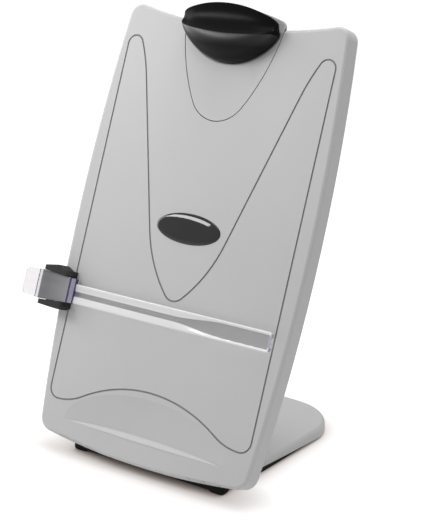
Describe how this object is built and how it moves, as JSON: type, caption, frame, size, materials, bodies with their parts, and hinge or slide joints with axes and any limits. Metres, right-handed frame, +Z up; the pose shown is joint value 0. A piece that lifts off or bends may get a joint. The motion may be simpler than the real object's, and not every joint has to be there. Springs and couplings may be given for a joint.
{
  "type": "copy holder",
  "caption": "Desktop copy holder: a leaning board on a hinged base, with a sprung paper clip, a bottom paper ledge and a clear line guide that slides up and down one edge.",
  "frame": {"origin": "centre of the rear foot's underside, on the desk top", "axes": "+Z up, +X to the holder's right as its user sees it, -Y towards the user"},
  "size_m": [0.2791, 0.1989, 0.3853],
  "materials": {
    "grey_plastic": "satin, lightly textured",
    "black_base": "matt",
    "black_plastic": "satin",
    "badge_gloss": "glossy dome",
    "black_rubber": "matt",
    "clear_acrylic": "clear, polished",
    "nylon": "matt",
    "steel": "plain"
  },
  "bodies": {
    "base": {"base_shell": "grey_plastic", "base_plate": "black_base", "front_foot_left": "black_rubber", "front_foot_right": "black_rubber", "rear_foot": "black_rubber", "base_screws": "steel", "hinge_axle": "steel", "friction_washers": "nylon", "axle_caps": "grey_plastic"},
    "board": {"front_panel": "grey_plastic", "back_cover": "grey_plastic", "panel_screws": "steel", "hinge_bracket": "grey_plastic", "bracket_screws": "steel", "clip_seat": "grey_plastic", "seat_screws": "steel", "clip_pin": "steel", "clip_spring": "steel", "badge": "badge_gloss", "slide_rail": "grey_plastic"},
    "clip": {"clip_lever": "black_plastic", "clip_grip": "black_rubber"},
    "slider": {"slider_body": "black_plastic", "slider_jaw": "black_plastic", "slider_screws": "steel", "guide_pin": "steel", "guide_spring": "steel"},
    "guide": {"line_guide": "clear_acrylic"}
  },
  "joints": [
    {"name": "board_tilt", "type": "hinge", "parent": "base", "child": "board", "pos_m": [0, -0.14595, 0.03758], "axis": [-1, 0, 0], "range_deg": [0, 68]},
    {"name": "clip_lever_pivot", "type": "hinge", "parent": "board", "child": "clip", "pos_m": [0, -0.05439, 0.36082], "axis": [-1, 0, 0], "range_deg": [0, 20], "stiffness_Nm_per_rad": 1, "springref_deg": -28.65},
    {"name": "guide_slide", "type": "slide", "parent": "board", "child": "slider", "axis": [0, 0.3746, 0.9272], "range_m": [-0.07, 0.203]},
    {"name": "guide_lift", "type": "hinge", "parent": "slider", "child": "guide", "pos_m": [-0.117, -0.1468, 0.13477], "axis": [0, -0.3746, -0.9272], "range_deg": [0, 20], "stiffness_Nm_per_rad": 0.05, "springref_deg": -17.19}
  ]
}
